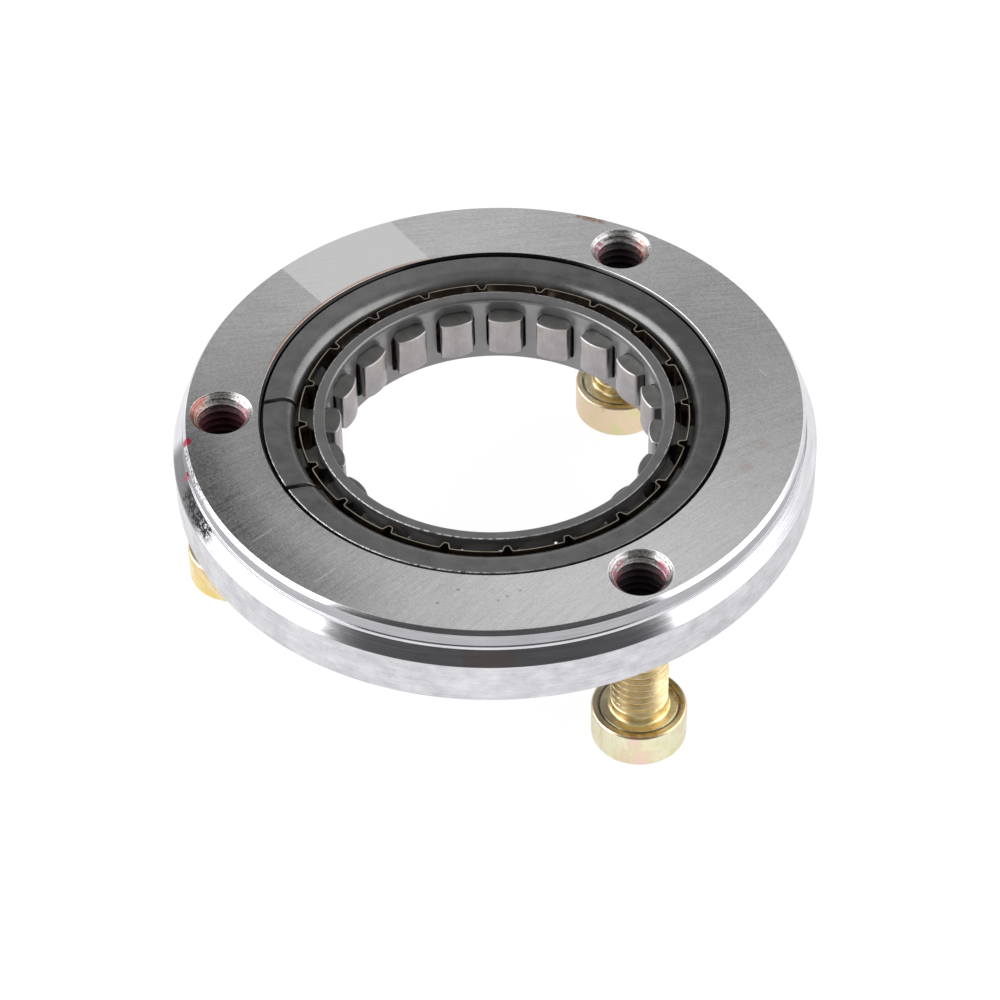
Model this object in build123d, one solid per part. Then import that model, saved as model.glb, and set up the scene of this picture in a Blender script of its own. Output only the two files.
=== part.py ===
from build123d import *
from math import asin, cos, degrees, radians, sin, sqrt, tan
import os

# A starter one-way clutch: a machined outer ring, a drop-in sprag insert and
# three socket cap screws started into the ring from below.  Millimetres.
# The clutch axis is Z and Z = 0 is the plane the three screw heads stand on.
os.makedirs("parts", exist_ok=True)

# ---- outer ring -------------------------------------------------------
ring_bottom_z = 20.2
ring_height = 11.55
ring_top_z = ring_bottom_z + ring_height
ring_outer_r = 45.0
boss_r = 43.4
top_face_r = 42.9
top_chamfer_h = 0.68
boss_height = 3.0
step_depth = 2.55
ledge_r = 43.58
cone_height = 2.02
edge_chamfer = 0.35
bore_r = 30.555
bore_chamfer = 0.5
recess_r = 32.47
recess_depth = 1.26
recess_chamfer = 0.4

# ---- tapped holes and cap screws (M8 x 1.25) --------------------------
screw_count = 3
screw_circle_r = 38.0
first_screw_angle = 60.0
hole_r = 4.05
hole_mouth_r = 4.4
thread_major_r = 4.0
thread_minor_r = 3.32
thread_pitch = 1.25
screw_length = 16.0
tip_chamfer = 0.8
tip_end_r = 3.2
head_r = 6.62
head_height = 6.0
head_top_chamfer = 0.35
head_bottom_round = 0.6
hex_across_flats = 6.0
hex_depth = 3.6
bearing_r = 5.35
bearing_groove_w = 0.35
bearing_groove_d = 0.2
neck_fillet = 0.3
neck_r = 4.0
neck_height = 1.9

# ---- sprag insert -----------------------------------------------------
sprag_count = 20
pitch_angle = 360.0 / sprag_count
pivot_angle = 11.9
inner_window_angle = 13.15
insert_top_z = ring_top_z - 0.28

outer_cage_r = 27.85
outer_cage_wall = 0.9
outer_bend_r = 2.2
flange_r = 32.17
flange_thickness = 0.95
outer_cage_height = 11.0
outer_window_w = 4.7
outer_window_low = 2.6
outer_window_high = 9.4
outer_lip_r = 25.1
outer_lip_thickness = 0.6
slot_width = 0.65
slot_depth = 4.6
tab_angle = 191.9
tab_half_width = 8.8
tab_start_r = 24.0

inner_cage_r = 23.6
inner_cage_wall = 0.85
inner_rim_r = 25.2
inner_rim_t = 0.75
inner_rim_round = 0.45
inner_top_z = ring_top_z - 0.92
inner_cage_height = 11.05
inner_window_w = 5.7
inner_window_low = 2.53
inner_window_high = 9.15
brow_start = 0.6
brow_reach = 0.6

spring_r = 27.2
spring_t = 0.22
spring_top_z = ring_top_z - 1.3
spring_height = 9.3
spring_phase = pivot_angle - pitch_angle / 2.0
notch_depth = 1.0
notch_half_w = 0.75
notch_floor_half_w = 0.22
spring_window_w = 4.7
spring_window_low = 0.55
spring_window_high = 8.0

# ---- sprags -----------------------------------------------------------
sprag_length = 6.15
sprag_bottom_z = ring_top_z - 9.75
pivot_r = 28.3
outer_lobe_r = 2.2
inner_lobe_r = 6.0
inner_lobe_half_w = 2.45
inner_tip_reach = 6.8
inner_lobe_tilt = 9.0
waist_half_w = 1.6
waist_reach = 2.0
lobe_start_reach = 3.0
sprag_lean = 5.0
sprag_edge = 0.25


def on_circle(radius, angle, z=0.0):
    return Location((radius * cos(radians(angle)), radius * sin(radians(angle)), z))


def turned(points):
    """Solid of revolution about Z from (radius, height) points."""
    outline = Polyline(*[(r, 0, z) for r, z in points], close=True)
    return revolve(make_face(outline), Axis.Z, 360)


def radial_box(width, r_from, r_to, z_from, z_to, angle):
    """Box lying along a radius, used as a cutter."""
    block = Box(r_to - r_from, width, z_to - z_from)
    block = Pos((r_from + r_to) / 2.0, 0, (z_from + z_to) / 2.0) * block
    return Rot(0, 0, angle) * block


# ---- outer ring -------------------------------------------------------
def outer_ring():
    top = ring_top_z
    low = ring_bottom_z
    ledge_z = top - boss_height
    floor_z = top - recess_depth
    profile = [
        (bore_r, low + bore_chamfer),
        (bore_r + bore_chamfer, low),
        (ring_outer_r - edge_chamfer, low),
        (ring_outer_r, low + edge_chamfer),
        (ring_outer_r, ledge_z - cone_height),
        (ledge_r, ledge_z),
        (ledge_r, top - step_depth),
        (boss_r, top - step_depth),
        (boss_r, top - top_chamfer_h),
        (top_face_r, top),
        (recess_r + recess_chamfer, top),
        (recess_r, top - recess_chamfer),
        (recess_r, floor_z),
        (bore_r + bore_chamfer, floor_z),
        (bore_r, floor_z - bore_chamfer),
    ]
    ring = turned(profile)
    for i in range(screw_count):
        where = on_circle(screw_circle_r, first_screw_angle + i * 360.0 / screw_count)
        ring -= where * tapped_hole()
    return ring


def tapped_hole():
    lead = hole_mouth_r - hole_r
    low = ring_bottom_z
    top = ring_top_z
    profile = [
        (0, low - 1),
        (hole_mouth_r, low - 1),
        (hole_mouth_r, low),
        (hole_r, low + lead),
        (hole_r, top - lead),
        (hole_mouth_r, top),
        (hole_mouth_r, top + 1),
        (0, top + 1),
    ]
    return turned(profile)


# ---- cap screws -------------------------------------------------------
def threaded_shank():
    """Core with a vee thread wound on it, trimmed between the neck and the chamfered tip."""
    low = head_height + neck_height
    top = head_height + screw_length
    path = Pos(0, 0, low - thread_pitch) * Helix(thread_pitch, top - low + 2 * thread_pitch,
                                                 thread_minor_r)
    rise = thread_major_r - thread_minor_r
    root = thread_pitch * 0.44
    crest = thread_pitch * 0.08
    section = Plane(origin=path @ 0, x_dir=(1, 0, 0), z_dir=(0, -1, 0))
    vee = section * make_face(Polyline((-0.05, -root), (rise, -crest), (rise, crest),
                                       (-0.05, root), close=True))
    core = Pos(0, 0, (low + top) / 2.0) * Cylinder(thread_minor_r, top - low + 3 * thread_pitch)
    envelope = turned([
        (0, low),
        (thread_major_r + tip_chamfer, low),
        (thread_major_r + tip_chamfer, top - thread_major_r + tip_end_r - tip_chamfer),
        (tip_end_r, top),
        (0, top),
    ])
    return (core + sweep(vee, path=path, is_frenet=True)) & envelope


def head_blank():
    profile = [
        (0, 0),
        (head_r - head_bottom_round, 0),
        (head_r - 0.18, head_bottom_round * 0.42),
        (head_r, head_bottom_round),
        (head_r, head_height - head_top_chamfer),
        (head_r - head_top_chamfer * 0.6, head_height),
        (bearing_r + bearing_groove_w, head_height),
        (bearing_r + bearing_groove_w, head_height - bearing_groove_d),
        (bearing_r, head_height - bearing_groove_d),
        (bearing_r, head_height),
        (neck_r + neck_fillet, head_height),
        (neck_r, head_height + neck_fillet),
        (neck_r, head_height + neck_height - thread_major_r + thread_minor_r),
        (thread_minor_r, head_height + neck_height),
        (0, head_height + neck_height),
    ]
    return turned(profile)


def cap_screw():
    socket = extrude(RegularPolygon(hex_across_flats / 2.0, 6, major_radius=False), hex_depth)
    drill_point = Pos(0, 0, hex_depth + 0.6) * Cone(hex_across_flats / 2.0, 0.2, 1.2)
    return head_blank() + threaded_shank() - socket - drill_point


# ---- outer cage -------------------------------------------------------
def outer_cage_blank():
    """Pressed cup: flat flange rolled over a round bend into the wall, whose low end turns in."""
    top = insert_top_z
    low = top - outer_cage_height
    inner = outer_cage_r
    bend = outer_bend_r
    under = bend - flange_thickness
    wall = outer_cage_wall
    lip_top = low + outer_lip_thickness
    with BuildPart() as cage:
        with BuildSketch(Plane.XZ):
            with BuildLine():
                Line((inner, lip_top), (inner, top - bend))
                RadiusArc((inner, top - bend), (inner + bend, top), bend)
                Line((inner + bend, top), (flange_r - 0.12, top))
                Line((flange_r - 0.12, top), (flange_r, top - 0.12))
                Line((flange_r, top - 0.12), (flange_r, top - flange_thickness))
                Line((flange_r, top - flange_thickness), (inner + bend, top - flange_thickness))
                RadiusArc((inner + bend, top - flange_thickness),
                          (inner + wall, top - bend), -under)
                Line((inner + wall, top - bend), (inner + wall, low))
                Line((inner + wall, low), (outer_lip_r, low))
                Line((outer_lip_r, low), (outer_lip_r, lip_top))
                Line((outer_lip_r, lip_top), (inner, lip_top))
            make_face()
        revolve(axis=Axis.Z)
    return cage.part


def outer_cage():
    cage = outer_cage_blank()
    top = insert_top_z
    for i in range(sprag_count):
        angle = pivot_angle + i * pitch_angle
        cage -= radial_box(outer_window_w, outer_cage_r - 1, outer_cage_r + outer_cage_wall + 0.4,
                           top - outer_window_high - 0.6, top - outer_window_low, angle)
    slot = Box(flange_r, slot_width, slot_depth + 1)
    for side in (-tab_half_width, tab_half_width):
        reach = Pos(flange_r / 2.0 + tab_start_r, side, top + (1 - slot_depth) / 2.0)
        cage -= Rot(0, 0, tab_angle) * reach * slot
    return cage


# ---- inner cage -------------------------------------------------------
def brow_sector(points, angle):
    """Part-turn ring over one window, from (radius, depth below the cage's top) points."""
    half_span = degrees(asin(inner_window_w / 2.0 / inner_cage_r))
    section = Polyline(*[(r, 0, inner_top_z - depth) for r, depth in points], close=True)
    return Rot(0, 0, angle - half_span) * revolve(make_face(section), Axis.Z, 2 * half_span)


def with_brow(body, angle):
    """The strip of wall over a window is dished outwards, clear of the sprag's end."""
    inside = inner_cage_r
    outside = inner_cage_r + inner_cage_wall
    end = inner_window_low
    pushed_out = [(inside + 0.3, brow_start), (outside, brow_start),
                  (outside + brow_reach, end), (inside + brow_reach + 0.1, end)]
    hollowed = [(inside - 1, brow_start), (inside, brow_start),
                (inside + brow_reach, end), (inside - 1, end)]
    return body + brow_sector(pushed_out, angle) - brow_sector(hollowed, angle)


def inner_cage():
    top = inner_top_z
    low = top - inner_cage_height
    rim = inner_rim_round
    outer = inner_cage_r + inner_cage_wall
    with BuildPart() as cage:
        with BuildSketch(Plane.XZ):
            with BuildLine():
                Line((inner_cage_r, low), (inner_cage_r, top - rim))
                RadiusArc((inner_cage_r, top - rim), (inner_cage_r + rim, top), rim)
                Line((inner_cage_r + rim, top), (inner_rim_r - 0.1, top))
                Line((inner_rim_r - 0.1, top), (inner_rim_r, top - 0.1))
                Line((inner_rim_r, top - 0.1), (inner_rim_r, top - inner_rim_t))
                Line((inner_rim_r, top - inner_rim_t), (outer, top - inner_rim_t))
                Line((outer, top - inner_rim_t), (outer, low))
                Line((outer, low), (inner_cage_r, low))
            make_face()
        revolve(axis=Axis.Z)
    body = cage.part
    for i in range(sprag_count):
        angle = inner_window_angle + i * pitch_angle
        body = with_brow(body, angle)
        body -= radial_box(inner_window_w, inner_cage_r - 1, outer + 0.5,
                           top - inner_window_high, top - inner_window_low, angle)
    return body


# ---- ribbon spring ----------------------------------------------------
def ribbon_path(offset):
    """Closed outline of the ribbon, one inward notch between neighbouring sprags."""
    points = []
    for i in range(sprag_count):
        middle = spring_phase + i * pitch_angle
        for across, depth in ((-notch_half_w, 0.0), (-notch_floor_half_w, notch_depth),
                              (notch_floor_half_w, notch_depth), (notch_half_w, 0.0)):
            radius = spring_r + offset - depth
            angle = radians(middle + degrees(across / spring_r))
            points.append((radius * cos(angle), radius * sin(angle)))
    return points


def ribbon_spring():
    half = spring_t / 2.0
    low = spring_top_z - spring_height
    outside = make_face(Polyline(*ribbon_path(half), close=True))
    inside = make_face(Polyline(*ribbon_path(-half), close=True))
    strip = Pos(0, 0, low) * extrude(outside - inside, spring_height)
    for i in range(sprag_count):
        strip -= radial_box(spring_window_w, spring_r - 1.5, spring_r + 1,
                            low + spring_window_low, low + spring_window_high,
                            pivot_angle + i * pitch_angle)
    return strip


# ---- sprag ------------------------------------------------------------
def sprag_outline():
    """Two-lobed cam section; the pivot is the origin and -X points at the axis.  The inner arc is
    turned about the middle of its chord, so that its centre lies beside the pivot."""
    half = inner_lobe_half_w
    rise = inner_lobe_r - sqrt(inner_lobe_r ** 2 - half ** 2)
    chord = inner_tip_reach - rise
    tilt = radians(inner_lobe_tilt)
    slant = half * tan(tilt)
    tip = (-chord - rise * cos(tilt), -rise * sin(tilt))
    shoulder = radians(52)
    sx = outer_lobe_r * cos(shoulder)
    sy = outer_lobe_r * sin(shoulder)
    with BuildSketch() as section:
        with BuildLine():
            ThreePointArc((-sx, sy), (outer_lobe_r, 0), (-sx, -sy))
            Line((-sx, -sy), (-waist_reach, -waist_half_w))
            Line((-waist_reach, -waist_half_w), (-lobe_start_reach, -half))
            Line((-lobe_start_reach, -half), (-chord + slant, -half))
            ThreePointArc((-chord + slant, -half), tip, (-chord - slant, half))
            Line((-chord - slant, half), (-lobe_start_reach, half))
            Line((-lobe_start_reach, half), (-waist_reach, waist_half_w))
            Line((-waist_reach, waist_half_w), (-sx, sy))
        make_face()
    return section.sketch


def sprag(index):
    blank = extrude(sprag_outline(), sprag_length)
    ends = [e for e in blank.edges() if abs(e.center().Z - sprag_length / 2.0) > sprag_length / 2.2]
    blank = chamfer(ends, sprag_edge)
    blank = Pos(pivot_r, 0, sprag_bottom_z) * Rot(0, 0, -sprag_lean) * blank
    return Rot(0, 0, pivot_angle + index * pitch_angle) * blank


pieces = {
    "outer_ring": outer_ring(),
    "outer_cage": outer_cage(),
    "inner_cage": inner_cage(),
    "ribbon_spring": ribbon_spring(),
}
for index in range(sprag_count):
    pieces[f"sprag_{index + 1:02d}"] = sprag(index)
screw = cap_screw()
for index in range(screw_count):
    place = on_circle(screw_circle_r, first_screw_angle + index * 360.0 / screw_count)
    pieces[f"cap_screw_{index + 1}"] = place * screw

for name, solid in pieces.items():
    export_step(solid, f"parts/{name}.step")
    box = solid.bounding_box()
    print(name, "valid", solid.is_valid, "solids", len(solid.solids()),
          "volume", round(solid.volume, 1), "z", round(box.min.Z, 2), round(box.max.Z, 2))
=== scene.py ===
import math

import bmesh
import bpy
import numpy as np
from mathutils import Matrix, Vector


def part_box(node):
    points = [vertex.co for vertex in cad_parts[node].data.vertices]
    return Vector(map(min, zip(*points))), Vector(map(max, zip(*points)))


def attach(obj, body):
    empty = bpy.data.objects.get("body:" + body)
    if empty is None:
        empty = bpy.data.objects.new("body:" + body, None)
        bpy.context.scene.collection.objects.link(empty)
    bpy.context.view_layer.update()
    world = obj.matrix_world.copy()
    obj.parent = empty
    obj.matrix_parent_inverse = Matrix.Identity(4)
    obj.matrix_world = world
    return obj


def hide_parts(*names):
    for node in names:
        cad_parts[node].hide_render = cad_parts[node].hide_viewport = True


# A one-way sprag clutch, put together from its ring inwards: the ring, the two pressed cages,
# the ribbon spring, twenty sprags and three cap screws, then the camera, the lamps and the floor.
# Shapes are worked out in millimetres round the clutch axis and become metres in the mesh.
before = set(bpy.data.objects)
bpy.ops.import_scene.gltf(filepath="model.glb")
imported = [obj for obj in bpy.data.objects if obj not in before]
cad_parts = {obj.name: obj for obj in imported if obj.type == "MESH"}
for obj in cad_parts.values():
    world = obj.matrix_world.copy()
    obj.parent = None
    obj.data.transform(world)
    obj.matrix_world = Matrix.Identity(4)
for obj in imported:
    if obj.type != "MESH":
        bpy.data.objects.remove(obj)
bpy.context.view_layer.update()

# ---- Outer ring --------------------------------------------------------------------------
# The outer race is one steel ring, turned all over and surface-ground on top. Its rim steps in
# over a cone and a small step to a low boss, and three M8 holes are tapped right through it.
MM = 0.001
ring_low, ring_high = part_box("outer_ring")
RING_R = ring_high.x / MM
RING_TOP = ring_high.z / MM
RING_BOTTOM = ring_low.z / MM
BOSS_R = RING_R - 1.6
TOP_FACE_R = BOSS_R - 0.5
LEDGE_R = BOSS_R + 0.18
TOP_CHAMFER = 0.68
BOSS_DEPTH = 2.55
STEP_DEPTH = 3.0
CONE_DEPTH = 5.02
FOOT_CHAMFER = 0.35
RECESS_R = 32.47
RECESS_EDGE = 0.4
RECESS_DEPTH = 1.26
BORE_R = 30.555
BORE_CHAMFER = 0.5
HOLE_CIRCLE_R = 38.0
HOLE_ANGLES = (60.0, 180.0, 300.0)
HOLE_MOUTH_R = 4.4
RELIEF = 1.5
SLACK = 0.04
THREAD_PITCH = 1.25
THREAD_ROWS = 20
THREAD_MINOR_R = 3.32
THREAD_MAJOR_R = 4.0
SCREW_NECK_TOP = 7.9
COLUMN = 1.0
COLLAR = 9.0
COLLAR_ROWS = 14


def eased(corners, reach, steps=3):
    """Profile with each inner corner replaced by a quadratic Bezier that leaves and meets its two
    sides at the given reach, or at 0.4 of a side that is shorter."""
    p = np.asarray(corners, float)
    t = np.linspace(0, 1, steps + 1)[:, None]
    line = [p[:1]]
    for before, corner, after in zip(p[:-2], p[1:-1], p[2:]):
        back, on = before - corner, after - corner
        far_back, far_on = np.linalg.norm(back), np.linalg.norm(on)
        start = corner + back / far_back * min(reach, 0.4 * far_back)
        end = corner + on / far_on * min(reach, 0.4 * far_on)
        line.append((1 - t) ** 2 * start + 2 * t * (1 - t) * corner + t ** 2 * end)
    line.append(p[-1:])
    return np.vstack(line)


def polar(r, degrees, z):
    """Points from cylindrical coordinates, broadcast against each other."""
    r, a, z = np.broadcast_arrays(r, np.radians(degrees), z)
    return np.stack([r * np.cos(a), r * np.sin(a), z], -1)


def lathe(profile, degrees):
    """Surface of revolution: row i, column j is profile point i turned to angle j."""
    return polar(profile[:, :1], degrees[None, :], profile[:, 1:])


def grid_faces(rows, cols, closed):
    """Four corner numbers for each cell of a grid of rows by cols points, joined round if closed."""
    i, j = np.mgrid[0:rows - 1, 0:cols if closed else cols - 1]
    k = (j + 1) % cols
    below = i * cols
    above = below + cols
    return np.stack([below + j, below + k, above + k, above + j], -1).reshape(-1, 4)


def joined(*surfaces):
    """Points and faces of several grids as one list; each surface is (grid, closed)."""
    points, faces, start = [], [], 0
    for grid, closed in surfaces:
        points.append(grid.reshape(-1, 3))
        faces.append(grid_faces(*grid.shape[:2], closed) + start)
        start += len(points[-1])
    return np.concatenate(points), np.concatenate(faces)


def piece(name, points, faces, caps=(), sharp=32.0):
    """Mesh object from points in millimetres, quads and end caps. Points that coincide are merged,
    normals are turned outwards, and edges that fold by more than the sharp angle stay crisp."""
    mesh = bpy.data.meshes.new(name)
    used, faces = np.unique(faces, return_inverse=True)
    faces = faces.reshape(-1, 4).tolist() + [np.searchsorted(used, cap).tolist() for cap in caps]
    mesh.from_pydata(points[used] * MM, [], faces)
    work = bmesh.new()
    work.from_mesh(mesh)
    bmesh.ops.remove_doubles(work, verts=work.verts, dist=2e-7)
    bmesh.ops.recalc_face_normals(work, faces=work.faces)
    work.to_mesh(mesh)
    work.free()
    mesh.shade_smooth()
    mesh.set_sharp_from_angle(angle=math.radians(sharp))
    made = bpy.data.objects.new(name, mesh)
    bpy.context.scene.collection.objects.link(made)
    return made


def thread_radius(z, degrees, slack=0.0):
    """Radius of a right-hand vee thread: it falls in line from a narrow crest to a narrow root with
    the distance along the axis from the helix, and the helix climbs one pitch in a turn."""
    turn = (z - SCREW_NECK_TOP) / THREAD_PITCH - degrees / 360.0
    away = np.abs(turn - np.round(turn))
    slope = np.clip((away - 0.07) / 0.35, 0, 1)
    return THREAD_MAJOR_R + slack - (THREAD_MAJOR_R - THREAD_MINOR_R) * slope


def sector(start, end, r_out, r_in, z):
    """Flat part of an annulus, its rows going inwards and its columns one degree apart."""
    angles = np.arange(start, end + COLUMN / 2, COLUMN)
    return polar(np.linspace(r_out, r_in, COLLAR_ROWS + 1)[:, None], angles[None, :], z)


def collar_edge(r_out, r_in):
    """Outline of the flat collar round a hole at angle 0: out along the outer arc, in along a radius,
    back along the inner arc and out again."""
    across = np.arange(-COLLAR, COLLAR + COLUMN / 2, COLUMN)
    inward = np.linspace(r_out, r_in, COLLAR_ROWS + 1)
    arc = len(across) - 1
    r = np.concatenate([np.full(arc, r_out), inward[:-1], np.full(arc, r_in), inward[:0:-1]])
    a = np.concatenate([across[:-1], np.full(COLLAR_ROWS, COLLAR), across[:0:-1],
                        np.full(COLLAR_ROWS, -COLLAR)])
    return polar(r, a, 0.0)


def turned_to(grid, degrees):
    """The same points turned about the clutch axis."""
    c, s = math.cos(math.radians(degrees)), math.sin(math.radians(degrees))
    return grid @ np.array([[c, s, 0], [-s, c, 0], [0, 0, 1]])


def hole_collar(edge, turns, z, degrees):
    """Flat ring of cells from the round mouth of a hole to the collar's outline, in straight lines."""
    mouth = np.stack([HOLE_CIRCLE_R + HOLE_MOUTH_R * np.cos(turns), HOLE_MOUTH_R * np.sin(turns),
                      np.zeros_like(turns)], -1)
    s = np.array([0, 0.3, 0.65, 1.0])[:, None, None]
    return turned_to((1 - s) * mouth + s * edge + [0, 0, z], degrees)


def tapped_wall(turns, degrees):
    """Wall of a tapped hole: a column for each turn angle and twenty rows a pitch. A short 45 degree
    chamfer opens to each face, and the thread fades in from its major radius. Above the lower face
    a plain relief takes the screw's neck."""
    rows = int((RING_TOP - RING_BOTTOM) / THREAD_PITCH * THREAD_ROWS)
    z = np.linspace(RING_TOP, RING_BOTTOM, rows + 1)[:, None]
    nearest_face = np.minimum(RING_TOP - z, z - RING_BOTTOM)
    run_in = np.clip(np.minimum(RING_TOP - z - 0.2, z - RING_BOTTOM - RELIEF) / 0.35, 0, 1)
    thread = thread_radius(z, np.degrees(turns)[None, :] + degrees, SLACK) * run_in
    r = np.maximum(thread + (THREAD_MAJOR_R + SLACK) * (1 - run_in), HOLE_MOUTH_R - nearest_face)
    wall = np.stack([HOLE_CIRCLE_R + r * np.cos(turns), r * np.sin(turns), z + 0 * r], -1)
    return turned_to(wall, degrees)


def outer_ring():
    """Rim, recess and bore by revolution, the two ground faces in sectors, and three tapped holes."""
    foot = RING_BOTTOM - RING_TOP
    rim = [(TOP_FACE_R, 0), (BOSS_R, -TOP_CHAMFER), (BOSS_R, -BOSS_DEPTH), (LEDGE_R, -BOSS_DEPTH),
           (LEDGE_R, -STEP_DEPTH), (RING_R, -CONE_DEPTH), (RING_R, foot + FOOT_CHAMFER),
           (RING_R - FOOT_CHAMFER, foot)]
    bore = [(RECESS_R + RECESS_EDGE, 0), (RECESS_R, -RECESS_EDGE), (RECESS_R, -RECESS_DEPTH),
            (BORE_R + BORE_CHAMFER, -RECESS_DEPTH), (BORE_R, -RECESS_DEPTH - BORE_CHAMFER),
            (BORE_R, foot + BORE_CHAMFER), (BORE_R + BORE_CHAMFER, foot)]
    around = np.arange(0, 360, COLUMN)
    surfaces = [(lathe(eased(line, 0.07) + [0, RING_TOP], around), True) for line in (rim, bore)]
    faces = ((RING_TOP, TOP_FACE_R, RECESS_R + RECESS_EDGE),
             (RING_BOTTOM, RING_R - FOOT_CHAMFER, BORE_R + BORE_CHAMFER))
    top_edge = collar_edge(*faces[0][1:])
    turns = np.arctan2(top_edge[:, 1], top_edge[:, 0] - HOLE_CIRCLE_R)
    for angle in HOLE_ANGLES:
        surfaces.append((tapped_wall(turns, angle), True))
        for z, r_out, r_in in faces:
            surfaces.append((hole_collar(collar_edge(r_out, r_in), turns, z, angle), True))
            surfaces.append((sector(angle + COLLAR, angle + 120 - COLLAR, r_out, r_in, z), False))
    return piece("ring_body", *joined(*surfaces))


ring = outer_ring()


class Shade:
    """A socket of a material's nodes that takes part in sums: each operator adds its Math node."""

    def __init__(self, tree, socket=None):
        self.tree = tree
        self.socket = socket

    def node(self, kind, settings=None, values=None, out=0):
        """Adds any other node. Its settings are set first, among them a ramp's stops, then its
        sockets get their values or links."""
        made = self.tree.nodes.new("ShaderNode" + kind)
        for key, value in (settings or {}).items():
            if key == "stops":
                ramp = made.color_ramp.elements
                while len(ramp) < len(value):
                    ramp.new(0.5)
                for stop, (place, colour) in zip(ramp, value):
                    stop.position = place
                    stop.color = (*colour, 1) if len(colour) == 3 else colour
            else:
                setattr(made, key, value)
        for key, value in (values or {}).items():
            target = made.inputs[key]
            if isinstance(value, Shade):
                self.tree.links.new(value.socket, target)
            else:
                target.default_value = value
        return Shade(self.tree, made.outputs[out]) if len(made.outputs) else None

    def maths(self, operation, *terms, clamp=False):
        settings = {"operation": operation, "use_clamp": clamp}
        return self.node("Math", settings, dict(enumerate(terms)))

    def __add__(self, other):
        return self.maths("ADD", self, other)

    def __sub__(self, other):
        return self.maths("SUBTRACT", self, other)

    def __rsub__(self, other):
        return self.maths("SUBTRACT", other, self)

    def __mul__(self, other):
        return self.maths("MULTIPLY", self, other)

    def __truediv__(self, other):
        return self.maths("DIVIDE", self, other)

    __radd__ = __add__
    __rmul__ = __mul__

    def root(self):
        return self.maths("SQRT", self)

    def step(self, low, high):
        """0 below low, 1 above high, in line between; low above high turns it over."""
        return self.node("MapRange", None, {"Value": self, "From Min": low, "From Max": high})

    def soft(self, low, high):
        """As step, but eased at both ends."""
        return self.node("MapRange", {"interpolation_type": "SMOOTHSTEP"},
                         {"Value": self, "From Min": low, "From Max": high})

    def mix(self, first, second):
        """Colour that goes from first to second as this value goes from 0 to 1."""
        sides = [c if isinstance(c, Shade) else (*c, 1) for c in (first, second)]
        made = self.tree.nodes.new("ShaderNodeMix")
        made.data_type = "RGBA"
        self.tree.links.new(self.socket, made.inputs["Factor"])
        for side, socket in zip(sides, (made.inputs[6], made.inputs[7])):
            if isinstance(side, Shade):
                self.tree.links.new(side.socket, socket)
            else:
                socket.default_value = side
        return Shade(self.tree, made.outputs[2])

    def noise(self, scale, detail=2.0, roughness=0.5, distortion=0.0):
        """Noise, from 0 to 1, at this vector."""
        return self.node("TexNoise", None, {"Vector": self, "Scale": scale, "Detail": detail,
                                            "Roughness": roughness, "Distortion": distortion})


def vector(x, y, z):
    """Vector from three values, at least one of which is a Shade."""
    shade = next(v for v in (x, y, z) if isinstance(v, Shade))
    return shade.node("CombineXYZ", None, {"X": x, "Y": y, "Z": z})


def finish_named(name):
    """New material with its nodes cleared, and the object's own coordinates in millimetres."""
    material = bpy.data.materials.new(name)
    material.use_nodes = True
    material.node_tree.nodes.clear()
    shade = Shade(material.node_tree)
    place = shade.node("TexCoord", None, None, "Object")
    place = shade.node("VectorMath", {"operation": "SCALE"}, {0: place, "Scale": 1 / MM})
    parts = [shade.node("SeparateXYZ", None, {0: place}, axis) for axis in "XYZ"]
    return material, shade, place, parts


def surface(shade, colour, roughness, metal, bump=None, bump_depth=0.01, bump_strength=1.0, **more):
    """Principled surface from its colour, roughness and metalness. bump is a height from 0 to 1
    that stands for bump_depth millimetres."""
    values = {"Base Color": colour if isinstance(colour, Shade) else (*colour, 1),
              "Roughness": roughness, "Metallic": metal, **more}
    if bump is not None:
        values["Normal"] = shade.node("Bump", None, {"Height": bump, "Distance": bump_depth * MM,
                                                     "Strength": bump_strength})
    body = shade.node("BsdfPrincipled", None, values)
    shade.node("OutputMaterial", None, {"Surface": body})


def spot(x, y, centre, radius, soft=0.3):
    """1 within the radius of the centre and 0 outside it, with a soft border."""
    dx, dy = x - centre[0], y - centre[1]
    return (dx * dx + dy * dy).root().soft(radius + soft, radius - soft)


def stroke(x, y, start, end, half_width):
    """1 along the straight line from start to end and 0 away from it."""
    along = np.array(end) - start
    dx, dy = x - start[0], y - start[1]
    t = (dx * float(along[0]) + dy * float(along[1])).step(0.0, float(along @ along))
    dx, dy = dx - t * float(along[0]), dy - t * float(along[1])
    return (dx * dx + dy * dy).root().soft(half_width * 1.5, half_width * 0.5)


HANDLING_PITS = ((2.9, -35.8), (1.2, -36.8), (0.0, -37.5), (-5.3, -35.3), (-8.0, -37.7))
SCRATCHES = (((-32.7, -25.4), (-30.3, -23.4)), ((-24.3, -33.4), (-21.6, -30.9)),
             ((38.2, 5.0), (37.3, 6.3)), ((7.0, -39.2), (10.5, -38.0)))
RUST_BLOTS = (((34.3, -13.3), 0.6, 0.3), ((36.9, -9.2), 0.9, 0.12), ((35.2, -17.0), 0.4, 0.15))
RED_DROPS = (((-42.5, -5.7), 0.7, 1.6, 1.2), ((-42.4, -9.6), 0.5, 2.2, 2.4))
WHEEL_R = 166.0
WHEEL_Y = -151.0
BLACK = (0.0, 0.0, 0.0)
WHITE = (1.0, 1.0, 1.0)


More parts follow.
